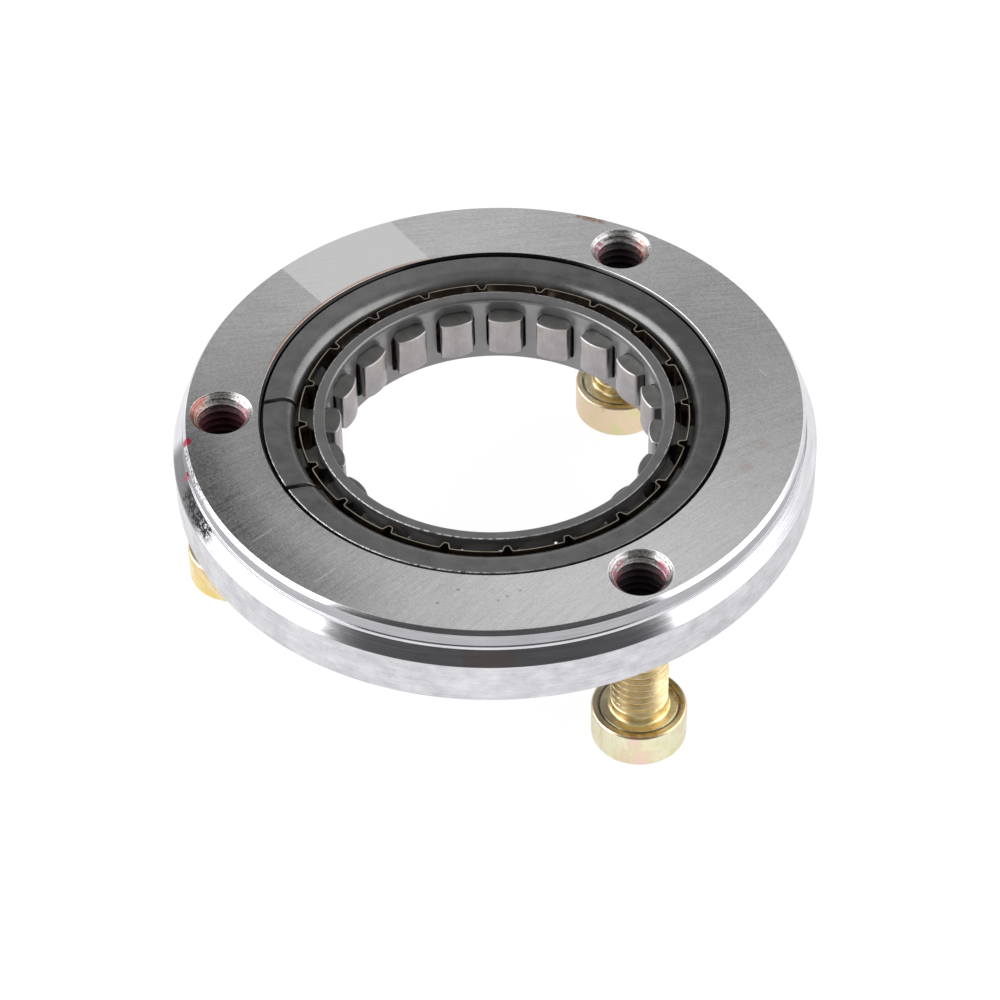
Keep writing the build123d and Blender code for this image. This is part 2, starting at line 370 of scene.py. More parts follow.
def grinding_lines(x, y):
    """Fine lines left by the grinding wheel: arcs of one large circle across the front of the face,
    and nearly straight lines across its back."""
    rise = WHEEL_R ** 2 - (y - WHEEL_Y) * (y - WHEEL_Y)
    arc = x + rise.root()
    front = vector(arc * 2.6, y * 0.16, 0.0).noise(1.0, 3.0, 0.7)
    rear = vector(x * 0.14, y * 3.0 - x * 0.3, 4.0).noise(1.0, 3.0, 0.7)
    at_back = y.soft(4.0, 16.0)
    return front * (1 - at_back) + rear * at_back


def ground_face(place, x, y, r, ground, cloudy, grain):
    """Ground top face: a grey with painted sheen and shade that drifts once and twice round the ring and
    darkens towards the front left, a paler strip that is a painted reflection, pits, scratches, a stain,
    faint rust and a coppery rim at the recess."""
    c, s = x / r, y / r
    # Painted shade: the outer part of the face is darker towards the front left.
    front_left_shade = (c * -0.84 + s * -0.54).soft(0.72, 1.0) * r.soft(35.0, 42.0)
    # Painted reflection: a paler straight strip across the back left of the face.
    strip = ((x + 29.9) * 0.796 + (y - 29.8) * 0.605).step(-0.1, 0.1)
    strip = strip * ((x + 14.3) * 0.834 + (y - 39.8) * 0.552).step(0.1, -0.1) * y.step(0.0, 1.0)
    # Painted sheen and shade: the tone drifts once and twice round the ring, as the ground lines catch the
    # light.
    drift = c * 0.0665 - s * 0.0532 - (c * c - s * s) * 0.152 - c * s * 0.2204
    tone = drift + 0.6878 - front_left_shade * 0.247 + strip * 0.285
    tone = tone + (ground - 0.5) * 0.42 + (cloudy - 0.5) * 0.12 + (grain - 0.5) * 0.5
    for pit in HANDLING_PITS:
        tone = tone - spot(x, y, pit, 0.2, 0.15) * 0.35
    for scratch in SCRATCHES:
        tone = tone + stroke(x, y, *scratch, 0.09) * 0.24
    top = tone.step(0.0, 1.0).mix(BLACK, WHITE)
    stain = stroke(x, y, (13.3, 40.6), (16.5, 39.3), 0.6) * place.noise(1.6, 3.0, 0.6).soft(0.3, 0.55)
    top = (stain * 0.8).mix(top, (0.42, 0.22, 0.13))
    for blot, size, share in RUST_BLOTS:
        top = (spot(x, y, blot, size, 0.7) * share).mix(top, (0.6, 0.25, 0.22))
    copper = r.soft(33.4, 33.0) * (c * -0.707 + s * 0.707).soft(0.8, 0.95)
    return (copper * 0.7).mix(top, (0.55, 0.30, 0.20))


def turned_side(c, s, z, r, turned, cloudy):
    """Turned rim: bright steel in fine bands, matter on the lowest wall. Darker on the boss and at the
    left, where the step has black chips of wear, with a brown tint in front. The recess and the bore are
    painted near black as painted shade, a little less on the recess chamfer where a painted glint lies."""
    depth = RING_TOP - z
    coarse = vector(c * 9.0, s * 9.0, r * 2.0 + z * 3.0).noise(1.0, 3.0, 0.6)
    matte = vector(c * 16.0, s * 16.0, z * 0.5).noise(1.0, 4.0, 0.6)
    chips = vector(c * 52.0, s * 52.0, z * 6.0 + r * 4.0).noise(1.0, 5.0, 0.8)
    low_wall = depth.step(CONE_DEPTH - 0.05, CONE_DEPTH + 0.08) * r.step(43.9, 44.0)
    tone = 0.74 + (turned - 0.5) * (0.5 - low_wall * 0.38) + (coarse - 0.5) * 0.25
    tone = tone + (cloudy - 0.5) * 0.3 + (matte - 0.5) * low_wall * 0.5 - low_wall * 0.04
    side = tone.step(0.0, 1.0).mix(BLACK, (0.98, 0.98, 1.03))

    rusty = (c * -0.03 + s * -1.0).soft(0.9970, 0.9976)
    rusty = rusty * depth.step(STEP_DEPTH + 0.05, STEP_DEPTH + 0.15) * depth.step(5.1, 4.95)
    side = (rusty * 0.5).mix(side, (0.75, 0.55, 0.52))
    on_left = (c * -0.97 + s * -0.24).soft(0.975, 0.99)
    on_left = on_left * depth.step(STEP_DEPTH - 0.05, STEP_DEPTH + 0.05) * depth.soft(5.9, 4.6)
    side = (on_left * 0.82).mix(side, (0.06, 0.06, 0.06))
    patchy_mark = (c * -0.931 + s * -0.366).soft(0.990, 0.996) * depth.step(2.85, 2.95) * depth.soft(5.3, 4.2)
    patchy_mark = (chips + patchy_mark * 0.12).step(0.56, 0.61) * patchy_mark
    nicks = (c * -0.96 + s * -0.28).soft(0.988, 0.996) * chips.step(0.50, 0.55) * depth.step(0.9, 0.7)
    side = (patchy_mark + nicks * 0.8).mix(side, (0.02, 0.02, 0.02))
    # Painted shade: inside 32.9 mm the recess and the bore go near black; the glint mask keeps a little
    # more of the chamfer's steel as a painted highlight.
    glint = (c * 0.7 + s * 0.714).soft(0.8, 0.95) * r.step(32.65, 32.75)
    side = (r.step(33.0, 32.9) * (0.97 - glint * 0.07)).mix(side, BLACK)
    boss = depth.step(0.6, 0.75) * depth.step(BOSS_DEPTH + 0.1, BOSS_DEPTH - 0.05) * r.step(42.0, 43.0)
    return (boss * 0.36).mix(side, BLACK), low_wall


def tapped_holes(colour, place, x, y, r, depth, cloudy, grain):
    """Cut steel in the three holes, near black deeper down as painted shade, found by folding the angle
    round the axis to one hole. A red and orange residue of thread lock clings to the side of each, and
    marks one lip."""
    angle = r.maths("ARCTAN2", y, x) - math.radians(60)
    fold = angle.maths("WRAP", angle, math.radians(60), math.radians(-60))
    hx, hy = r * fold.maths("COSINE", fold) - HOLE_CIRCLE_R, r * fold.maths("SINE", fold)
    from_hole = (hx * hx + hy * hy).root()
    hole = from_hole.soft(4.55, 4.35)
    on_right = x.step(-0.1, 0.1)
    on_left = 1 - on_right
    side_x = x + HOLE_CIRCLE_R - on_right * HOLE_CIRCLE_R * 1.5
    rings = vector(from_hole * 5.0, depth * 4.5, cloudy * 6.0).noise(1.0, 3.0, 0.7) * 0.55 + grain * 0.45
    cut = rings.step(0.40, 0.60).mix((0.08, 0.08, 0.08), (0.60, 0.59, 0.58))
    colour = (hole * depth.step(0.02, 0.08)).mix(colour, cut)
    # Painted shade: the hole walls go near black, with a maroon cast on the left, the deeper they lie.
    hole_depth_shade = depth.soft(0.9, 3.4) * hole
    colour = hole_depth_shade.mix(colour, on_left.mix((0.05, 0.035, 0.04), (0.10, 0.03, 0.045)))
    residue = place.noise(1.3, 4.0, 0.65).soft(0.40, 0.60) * hole
    residue = residue * depth.soft(5.0, 1.5) * depth.step(0.4, 0.7) * (side_x * side_x).soft(2.0, 9.0)
    orange = side_x.soft(1.0, -1.0) * on_left + on_right * side_x.soft(-1.0, 1.0) * y.step(-0.1, 0.1)
    colour = (residue * 0.8).mix(colour, (orange * 0.8).mix((0.42, 0.07, 0.12), (0.62, 0.17, 0.08)))
    lip = hole * on_left * side_x.soft(-1.5, -3.0) * depth.step(0.02, 0.1) * depth.step(0.8, 0.5)
    return (lip * 0.7).mix(colour, (0.28, 0.05, 0.025)), hole, hole_depth_shade, residue


def ring_steel():
    """Bare steel: the ground top face and the turned rim, then drops of red marking fluid on the rim
    and the three tapped holes."""
    material, shade, place, (x, y, z) = finish_named("ring_steel")
    r = (x * x + y * y).root()
    c, s = x / r, y / r
    depth = RING_TOP - z
    cloudy = place.noise(0.09, 3.0, 0.6)
    grain = place.noise(3.2, 3.0, 0.7)
    ground = grinding_lines(x, y)
    turned = vector(c * 3.0, s * 3.0, r * 7.0 + z * 9.0).noise(1.0, 3.0, 0.65)

    on_top = depth.soft(0.06, 0.02)
    side, low_wall = turned_side(c, s, z, r, turned, cloudy)
    colour = on_top.mix(side, ground_face(place, x, y, r, ground, cloudy, grain))
    for drop, radius, start, end in RED_DROPS:
        colour = (spot(x, y, drop, radius, 0.2) * depth.step(start, end)).mix(colour, (0.48, 0.05, 0.10))
    colour, hole, hole_depth_shade, residue = tapped_holes(colour, place, x, y, r, depth, cloudy, grain)

    lines = ground * on_top + turned * (1 - on_top)
    rough = on_top * 0.2 + 0.16 + (lines - 0.5) * 0.1 + low_wall * 0.12 + hole_depth_shade * 0.3 + hole * 0.2
    metal = 1 - residue * 0.8 - hole_depth_shade * 0.4
    surface(shade, colour, rough, metal, lines, 0.006, 0.6)
    return material


ring.data.materials.append(ring_steel())
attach(ring, "outer_ring")
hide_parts("outer_ring")


# ---- Outer cage --------------------------------------------------------------------------
# The insert's outer cage is pressed from thin strip and blackened. Its flange lies in the ring's
# recess, rolls over a round bend into a wall with twenty windows, and two slots free a friction tab.
SPRAGS = 20
PITCH = 360.0 / SPRAGS
PIVOT_ANGLE = 11.9
CAGE_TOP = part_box("outer_cage")[1].z / MM
CAGE_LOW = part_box("outer_cage")[0].z / MM
CAGE_R = 27.85
CAGE_WALL = 0.9
CAGE_BEND_R = 2.2
FLANGE_R = 32.17
FLANGE_T = 0.95
TAB_ANGLE = 191.9
TAB_HALF = 8.8
SLOT_HALF = 0.33
LIP_R = 25.1
LIP_T = 0.6


def plate(front, back, metal):
    """Closed sheet of metal: front and back are its two faces as rows x columns of points that go
    round and meet. Each metal cell has a face on both sides, and a wall stands on each cell edge
    that borders on an opening or on the first or last row."""
    rows, cols = front.shape[:2]
    number = np.arange(rows * cols).reshape(rows, cols)
    after = np.roll(number, -1, axis=1)
    corners = np.stack([number[:-1], after[:-1], after[1:], number[1:]], -1)
    none = np.zeros((1, cols), bool)
    borders = (~np.vstack([none, metal[:-1]]), ~np.roll(metal, -1, axis=1),
               ~np.vstack([metal[1:], none]), ~np.roll(metal, 1, axis=1))
    faces = [corners[metal], corners[metal][:, ::-1] + rows * cols]
    for side, border in enumerate(borders):
        start, end = corners[metal & border][:, [side, (side + 1) % 4]].T
        faces.append(np.stack([end, start, start + rows * cols, end + rows * cols], -1))
    return np.concatenate([front.reshape(-1, 3), back.reshape(-1, 3)]), np.concatenate(faces)


def window_columns(radius, width, centre, in_window, in_bar):
    """For each column the middle angle of the nearest of twenty windows and the column's own angle
    from it, and which columns start in a window."""
    half = math.degrees(width / 2 / radius)
    window = np.linspace(-half, half, in_window, endpoint=False)
    bar = np.linspace(half, PITCH - half, in_bar, endpoint=False)
    across = np.concatenate([window, bar])
    past = across > PITCH / 2
    middle = centre + PITCH * (np.arange(SPRAGS)[:, None] + past)
    windowed = np.arange(in_window + in_bar) < in_window
    return middle.ravel(), np.tile(across - PITCH * past, SPRAGS), np.tile(windowed, SPRAGS)


def bend(centre_r, centre_z, radius, steps):
    """Quarter circle from the wall's side, at 180 degrees, up to the flange's side, at 90."""
    a = np.radians(np.linspace(180, 90, steps + 1))
    return np.stack([centre_r + radius * np.cos(a), centre_z + radius * np.sin(a)], -1)


def outer_cage():
    """Two offset profiles, lip, wall, bend and flange, turned round the axis, with the windows left
    out. Beside the tab the columns shear, so that both slots run parallel to the tab's middle."""
    middle, across, windowed = window_columns(CAGE_R + CAGE_WALL / 2, 4.7, PIVOT_ANGLE, 10, 9)
    columns = middle + across
    wall_z = CAGE_TOP - np.array([10.0, 4.6, 2.6])
    steps = 12
    bend_z, bend_r = CAGE_TOP - CAGE_BEND_R, CAGE_R + CAGE_BEND_R
    flange_r = np.linspace(bend_r + 0.4, FLANGE_R, 6)

    def side(wall_r, lip_z, radius, flange_z):
        lip = [(LIP_R, lip_z), (wall_r, lip_z)]
        wall = np.stack([np.full_like(wall_z, wall_r), wall_z], -1)
        flange = np.stack([flange_r, np.full_like(flange_r, flange_z)], -1)
        return np.vstack([lip, wall, bend(bend_r, bend_z, radius, steps), flange])

    inner = side(CAGE_R, CAGE_LOW + LIP_T, CAGE_BEND_R, CAGE_TOP)
    outer = side(CAGE_R + CAGE_WALL, CAGE_LOW, CAGE_BEND_R - FLANGE_T, CAGE_TOP - FLANGE_T)
    wall_mid = CAGE_R + CAGE_WALL / 2
    slots = []
    shear = np.zeros_like(columns)
    for side_of_tab in (-1, 1):
        near = TAB_ANGLE + side_of_tab * math.degrees(math.asin(TAB_HALF / wall_mid))
        edges = []
        for offset in (-SLOT_HALF, SLOT_HALF):
            edge = near + math.degrees(offset / wall_mid)
            j = int(np.argmin(np.abs(columns - edge)))
            columns[j] = edge
            edges.append(j)
        slots.append(range(*edges))
        shear += side_of_tab * np.clip(1.6 - np.abs(columns - near) / 6.0, 0, 1)
    metal = np.ones((len(inner) - 1, len(columns)), bool)
    metal[2:4, windowed] = False
    for slot in slots:
        metal[3:, list(slot)] = False

    def round_axis(profile):
        r = profile[:, :1]
        lag = np.degrees(np.arcsin(TAB_HALF / r) - math.asin(TAB_HALF / wall_mid))
        return polar(r, columns + shear * np.where(r > wall_mid, lag, 0), profile[:, 1:])

    return piece("outer_cage_shell", *plate(round_axis(inner), round_axis(outer), metal), sharp=40)


def crisp_edge(made, width, segments=2):
    """Breaks every sharp edge of a pressed piece by a small bevel."""
    bevel = made.modifiers.new("broken_edges", "BEVEL")
    bevel.width = width * MM
    bevel.segments = segments
    bevel.limit_method = "ANGLE"
    bevel.angle_limit = math.radians(50)
    bevel.harden_normals = False


cage = outer_cage()
crisp_edge(cage, 0.1)


def blackened_steel(name, low, high, rough, rim_z, painted_light_lift, sweep, corner, dull):
    """Oxide-blackened strip: a dark satin skin from low to high, a little mottled, lighter in specks.
    Below the height rim_z its tone is lifted as painted light, where it is less metallic by dull, and it
    drifts round the axis by sweep. The outer top edge is painted bright in broken patches as a painted
    highlight, most of all near 235 degrees; corner gives that edge's radius, its height and the least
    share of it."""
    material, shade, place, (x, y, z) = finish_named(name)
    mottle = place.noise(0.35, 4.0, 0.6)
    grain = place.noise(7.0, 2.0, 0.6)
    specks = place.noise(2.2, 3.0, 0.7).step(0.68, 0.8)
    tone = (mottle - 0.5) * 0.8 + (grain - 0.5) * 0.5 + 0.5 + specks * 0.4
    # Painted light: below rim_z the tone is made lighter, standing for light from the bright floor.
    lower = z.step(rim_z, rim_z - 0.1)
    tone = lower * painted_light_lift + tone
    r = (x * x + y * y).root()
    c, s = x / r, y / r
    drift = c * -0.114 - (c * c - s * s) * 0.094 - c * s * 0.15 - 0.18
    colour = (tone + drift * sweep).step(0.0, 1.0 + painted_light_lift).mix(low, high)
    edge_r, edge_z, least = corner
    # Painted highlight: a light grey line in broken patches along the outer top edge, strongest near 235
    # degrees.
    patchy_mark = ((edge_r - r) + (edge_z - z)).step(0.2, 0.08) * place.noise(1.6, 3.0, 0.7).step(0.38, 0.55)
    patchy_mark = patchy_mark * (least + (c * -0.574 + s * -0.819).soft(0.6, 0.95) * (0.9 - least))
    colour = patchy_mark.mix(colour, (0.8, 0.8, 0.8))
    metal = 0.75 - patchy_mark * 0.6 - lower * dull
    surface(shade, colour, rough + (mottle - 0.5) * 0.12, metal, grain, 0.008, 0.6)
    return material


cage.data.materials.append(blackened_steel(
    "cage_steel", low=(0.10, 0.10, 0.10), high=(0.44, 0.44, 0.435), rough=0.28, rim_z=CAGE_TOP - 3.0,
    painted_light_lift=0.8, sweep=1.2, corner=(FLANGE_R, CAGE_TOP, 0.1), dull=0.45))
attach(cage, "outer_cage")
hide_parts("outer_cage")


# ---- Inner cage --------------------------------------------------------------------------
# The inner cage is pressed the same way, with a narrow rim turned outwards and twenty windows that
# the sprags look through. It is a shade lighter than the outer cage.
INNER_R = 23.6
INNER_WALL = 0.85
INNER_RIM_R = 25.2
INNER_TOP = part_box("inner_cage")[1].z / MM
INNER_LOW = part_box("inner_cage")[0].z / MM
INNER_RIM_T = 0.75
WINDOW_ANGLE = 13.15
WINDOW_WIDTH = 5.7
WINDOW_LOW = INNER_TOP - 9.15
WINDOW_HIGH = INNER_TOP - 2.53
BROW = 0.6


def inner_cage():
    """Wall, small bend and rim as two offset profiles, turned round the axis; windows left out. Each
    row has its own half width of the windows, which follows a quarter circle into every corner. Over
    a window both faces move outwards, in line with the depth and eased across, as a dished brow."""
    middle, across, windowed = window_columns(INNER_R, WINDOW_WIDTH, WINDOW_ANGLE, 9, 6)
    turn = np.radians(np.linspace(0, 90, 6))
    corner = [(z + rise * radius * (1 - np.cos(turn)), WINDOW_WIDTH / 2 - radius * (1 - np.sin(turn)))
              for z, rise, radius in ((WINDOW_LOW, 1, 0.7), (WINDOW_HIGH, -1, 1.1))]
    over = INNER_TOP - np.array([2.1, 1.7, 1.3, 0.95])
    wall_z = np.concatenate([[INNER_LOW, INNER_LOW + 0.4], corner[0][0], corner[1][0][::-1], over])
    half = np.concatenate([np.full(2, corner[0][1][0]), corner[0][1], corner[1][1][::-1]])
    opening = slice(2, len(half) - 1)
    rim_r = np.linspace(INNER_R + INNER_WALL + 0.25, INNER_RIM_R, 3)

    def side(wall_r, start, centre, radius, rim_z):
        wall = np.stack([np.full_like(wall_z, wall_r), wall_z], -1)
        rim = np.stack([rim_r, np.full_like(rim_r, rim_z)], -1)
        return np.vstack([wall, bend(centre, start, radius, 5), rim])

    front = side(INNER_R, INNER_TOP - 0.45, INNER_R + 0.45, 0.45, INNER_TOP)
    back = side(INNER_R + INNER_WALL, INNER_TOP - INNER_RIM_T - 0.1, INNER_R + INNER_WALL + 0.1, 0.1,
                INNER_TOP - INNER_RIM_T)
    last = len(wall_z) - 1
    back[last, 1] = min(back[last, 1], INNER_TOP - INNER_RIM_T - 0.1)
    metal = np.ones((len(front) - 1, len(across)), bool)
    metal[opening, windowed] = False
    half = np.concatenate([half, np.full(len(front) - len(half), half[-1])])
    half = np.degrees(half / INNER_R)[:, None]
    full = math.degrees(WINDOW_WIDTH / 2 / INNER_R)
    outside = half + (np.abs(across) - full) * (PITCH / 2 - half) / (PITCH / 2 - full)
    angles = middle + np.where(np.abs(across) < full, across * half / full, np.sign(across) * outside)
    level = front[:, 1:]
    down = np.where(level > WINDOW_HIGH - 1.5, np.clip((INNER_TOP - 0.6 - level) / 1.93, 0, 1), 0)
    near = np.clip(1.9 * (1 - np.abs(angles - middle) / full), 0, 1)
    dish = BROW * down * near * near * (3 - 2 * near)
    faces = [polar(profile[:, :1] + dish, angles, profile[:, 1:]) for profile in (front, back)]
    return piece("inner_cage_shell", *plate(*faces, metal), sharp=40)


inner = inner_cage()
crisp_edge(inner, 0.07)
inner.data.materials.append(blackened_steel(
    "inner_cage_steel", low=(0.12, 0.12, 0.12), high=(0.42, 0.41, 0.42), rough=0.3, rim_z=INNER_TOP - 0.7,
    painted_light_lift=0.9, sweep=0.0, corner=(INNER_RIM_R, INNER_TOP, 0.4), dull=0.0))
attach(inner, "inner_cage")
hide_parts("inner_cage")


# ---- Ribbon spring -----------------------------------------------------------------------
# A hair-thin tempered ribbon stands on edge between the cages, with a small notch bent inwards
# between every two sprags and a window for each sprag. Temper has turned it straw-coloured.
SPRING_R = 27.2
SPRING_T = 0.13
NOTCH = 1.0
SPRING_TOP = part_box("ribbon_spring")[1].z / MM
SPRING_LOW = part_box("ribbon_spring")[0].z / MM


def ribbon_spring():
    """Path round the axis that dips inwards by an eased step at each notch, offset by half the
    thickness along its own normal to both sides."""
    near = np.concatenate([np.linspace(-1.0, 1.0, 17), np.linspace(1.0, 3.95, 4)[1:]])
    edge = math.degrees(2.35 / SPRING_R)
    over = np.linspace(PITCH / 2 - edge, PITCH / 2 + edge, 6)
    across = np.concatenate([near[:17] * 1.9, [3.0], over, [PITCH - 3.0]])
    columns = (across + PIVOT_ANGLE - PITCH / 2 + PITCH * np.arange(SPRAGS)[:, None]).ravel()
    windowed = np.tile((across >= over[0] - 1e-9) & (across < over[-1] - 1e-9), SPRAGS)
    from_notch = np.tile(np.where(across > PITCH / 2, across - PITCH, across), SPRAGS)
    a = np.abs(from_notch) * math.radians(SPRING_R)
    s = np.clip((0.78 - a) / 0.5, 0, 1)
    path = polar(SPRING_R - NOTCH * s * s * (3 - 2 * s), columns, 0.0)
    along = np.roll(path, -1, axis=0) - np.roll(path, 1, axis=0)
    normal = np.stack([along[:, 1], -along[:, 0], 0 * a], -1) / np.linalg.norm(along, axis=1)[:, None]
    z = np.array([SPRING_LOW, SPRING_LOW + 0.55, SPRING_LOW + 4.5, SPRING_LOW + 8.0, SPRING_TOP])
    up = np.stack([0 * z, 0 * z, z], -1)[:, None, :]
    metal = np.ones((len(z) - 1, len(columns)), bool)
    metal[1:3, windowed] = False
    half = SPRING_T / 2
    return piece("ribbon", *plate(path - normal * half + up, path + normal * half + up, metal), sharp=40)


spring = ribbon_spring()


def straw_steel():
    """Tempered spring steel: straw to brown by patches, bright along the sheared top edge."""
    material, shade, place, (x, y, z) = finish_named("spring_steel")
    patch = place.noise(0.3, 3.0, 0.6)
    edge = z.step(SPRING_TOP - 0.08, SPRING_TOP - 0.02)
    body = patch.step(0.3, 0.7).mix((0.14, 0.11, 0.09), (0.34, 0.24, 0.17))
    bright = patch.step(0.35, 0.65).mix((0.33, 0.29, 0.22), (0.62, 0.56, 0.44))
    surface(shade, edge.mix(body, bright), 0.3, 1.0)
    return material


spring.data.materials.append(straw_steel())
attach(spring, "outer_cage")
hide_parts("ribbon_spring")


# ---- Sprags ------------------------------------------------------------------------------
# Twenty hardened cams stand in the windows: a round outer lobe that bears on the bore, a waist,
# and a wider lobe with a polished face that bears on the hub. Their ends are dark grey.
SPRAG_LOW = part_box("sprag_01")[0].z / MM
SPRAG_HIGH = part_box("sprag_01")[1].z / MM
PIVOT_R = 28.3
SPRAG_LEAN = 5.0
OUTER_LOBE_R = 2.2
INNER_LOBE_R = 6.0
LOBE_HALF = 2.45
TIP_REACH = 6.8
LOBE_TILT = 9.0
BROKEN_EDGE = 0.28


def sprag_outline():
    """Section round the outer lobe's centre, with -x towards the clutch axis: two arcs, the inner one
    turned about the middle of its chord, and sides that ease in to the waist and out to the lobe."""
    shoulder = np.radians(np.linspace(-128, 128, 27))
    outer_arc = OUTER_LOBE_R * np.stack([np.cos(shoulder), np.sin(shoulder)], -1)
    reach = math.asin(LOBE_HALF / INNER_LOBE_R)
    chord = TIP_REACH - INNER_LOBE_R * (1 - math.cos(reach))
    slant = LOBE_HALF * math.tan(math.radians(LOBE_TILT))
    tip = np.linspace(math.pi - 0.6 * reach, math.pi + 0.6 * reach, 13) + math.radians(LOBE_TILT)
    tilt = math.radians(LOBE_TILT)
    middle = INNER_LOBE_R * math.cos(reach) * np.array([math.cos(tilt), math.sin(tilt)]) - [chord, 0]
    inner_arc = middle + INNER_LOBE_R * np.stack([np.cos(tip), np.sin(tip)], -1)

    def flank(start, turn, end):
        corners = [(-2.0, 1.6 * turn), (-3.0, LOBE_HALF * turn), (-chord - slant * turn, LOBE_HALF * turn)]
        return eased([start, *corners, end], 0.7, 5)[1:-1]

    rise = flank(outer_arc[-1], 1, inner_arc[0])
    fall = flank(outer_arc[0], -1, inner_arc[-1])
    return np.vstack([outer_arc, rise, inner_arc, fall[::-1]])


def sprag(index):
    """The outline carried up the axis, drawn in along its own normal at both ends to break the edges,
    then leaned and turned to its place."""
    line = sprag_outline()
    along = np.roll(line, -1, axis=0) - np.roll(line, 1, axis=0)
    normal = np.stack([along[:, 1], -along[:, 0]], -1) / np.linalg.norm(along, axis=1)[:, None]
    t = np.radians(np.linspace(0, 90, 4))
    inset = BROKEN_EDGE * (1 - np.sin(t))
    rise = BROKEN_EDGE * (1 - np.cos(t))
    z = np.concatenate([SPRAG_LOW + rise, SPRAG_HIGH - rise[::-1]])
    inset = np.concatenate([inset, inset[::-1]])
    flat = line[None] - normal[None] * inset[:, None, None]
    grid = np.concatenate([flat, np.broadcast_to(z[:, None, None], flat.shape[:2] + (1,))], -1)
    grid = turned_to(grid, -SPRAG_LEAN) + [PIVOT_R, 0, 0]
    grid = turned_to(grid, PIVOT_ANGLE + PITCH * index)
    rows, cols = grid.shape[:2]
    ends = np.arange(cols)[::-1], np.arange(cols) + (rows - 1) * cols
    return piece(f"sprag_cam_{index + 1:02d}", grid.reshape(-1, 3), grid_faces(rows, cols, True), ends, 50)


def sprag_steel():
    """Hardened steel: pale on the polished inner face, with a painted highlight along its broken edge,
    dark grey on the ends, and painted dark grey as painted shade on the flanks in the depth of the cages."""
    material, shade, place, (x, y, z) = finish_named("sprag_steel")
    r = (x * x + y * y).root()
    end = z.step(SPRAG_HIGH - 0.1, SPRAG_HIGH - 0.03)
    edge = z.step(SPRAG_HIGH - 0.30, SPRAG_HIGH - 0.20)
    cloud = place.noise(0.5, 3.0, 0.6)
    lines = vector(x * 9.0, y * 9.0, z * 0.5).noise(1.0, 2.0, 0.6)
    bright = (cloud * 0.6 + lines * 0.4).step(0.2, 0.8).mix((0.36, 0.335, 0.34), (0.60, 0.56, 0.57))
    # Painted highlight: the broken top edge is a paler, less metallic grey.
    bright = edge.mix(bright, (0.66, 0.64, 0.64))
    dull = (cloud * 0.7 + lines * 0.3).step(0.25, 0.75).mix((0.10, 0.10, 0.097), (0.20, 0.20, 0.192))
    # Painted shade: off the polished inner face the flanks are mixed towards dark grey.
    colour = (r.step(22.2, 22.4) * (1 - end)).mix(end.mix(bright, dull), (0.3, 0.3, 0.3))
    surface(shade, colour, 0.3 + edge * 0.15, 1.0 - edge * 0.55, lines, 0.003, 0.4)
    return material


sprag_finish = sprag_steel()
for index in range(SPRAGS):
    node = f"sprag_{index + 1:02d}"
    cam = sprag(index)
    cam.data.materials.append(sprag_finish)
    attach(cam, node)
    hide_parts(node)


# ---- Cap screws --------------------------------------------------------------------------
# Three M8 socket cap screws, zinc-plated and passivated yellow, are started one turn into the ring
# from below and carry it on their heads. The neck under the thread is plain.
HEAD_R = 6.62
HEAD_H = 6.0
BEARING_R = 5.35
HEX_FLATS = 6.0
HEX_DEPTH = 3.6
SCREW_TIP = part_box("cap_screw_1")[1].z / MM


def cap_screw(index):
    """One grid from the socket's floor, down its six sides, round the head, up the neck and along
    the thread to the tip: each row is a star-shaped outline r(angle) at a height z(angle)."""
    angles = np.arange(0, 360, 4.0)
    from_flat = np.radians((angles + 30) % 60 - 30)
    hexagon = HEX_FLATS / 2 / np.cos(from_flat)
    socket = [(0.02 + 0 * hexagon, HEX_DEPTH + 1.1), (hexagon * 0.93, HEX_DEPTH), (hexagon, HEX_DEPTH),
              (hexagon, 1.8), (hexagon, 0.12), (hexagon + 0.1, 0.0)]
    sides = [(3.9, 0), (HEAD_R - 0.6, 0), (HEAD_R, 0.7), (HEAD_R, HEAD_H - 0.3), (HEAD_R - 0.22, HEAD_H)]
    groove = [(BEARING_R + 0.38, HEAD_H), (BEARING_R + 0.3, HEAD_H - 0.2),
              (BEARING_R + 0.08, HEAD_H - 0.2), (BEARING_R, HEAD_H - 0.02)]
    neck_z = SCREW_NECK_TOP - 0.68
    neck = [(THREAD_MAJOR_R + 0.3, HEAD_H), (THREAD_MAJOR_R, HEAD_H + 0.3), (THREAD_MAJOR_R, neck_z)]
    head = eased(sides + groove + neck, 0.12, 3)
    thread_z = np.arange(neck_z, SCREW_TIP - 1e-6, THREAD_PITCH / THREAD_ROWS)
    run_in = np.clip((thread_z - SCREW_NECK_TOP) / 0.9 + 0.75, 0, 1)
    tip = np.clip(SCREW_TIP - thread_z + 3.2, 0, THREAD_MAJOR_R)
    rows = [(r + 0 * angles, z + 0 * angles) for r, z in (*socket, *head)]
    for z, share, limit in zip(thread_z, run_in, tip):
        r = thread_radius(z, angles) * share + (1 - share) * THREAD_MAJOR_R
        rows.append((np.minimum(r, limit), z + 0 * angles))
    rows += [(r + 0 * angles, SCREW_TIP + 0 * angles) for r in (3.1, 0.02)]
    r, z = (np.array(column) for column in zip(*rows))
    grid = polar(r, angles, z) + polar(HOLE_CIRCLE_R, HOLE_ANGLES[index], 0.0)
    count = grid.shape[0] * grid.shape[1]
    ends = np.arange(len(angles)), np.arange(count - len(angles), count)[::-1]
    return piece(f"screw_{index + 1}", grid.reshape(-1, 3), grid_faces(*grid.shape[:2], True), ends, 40)


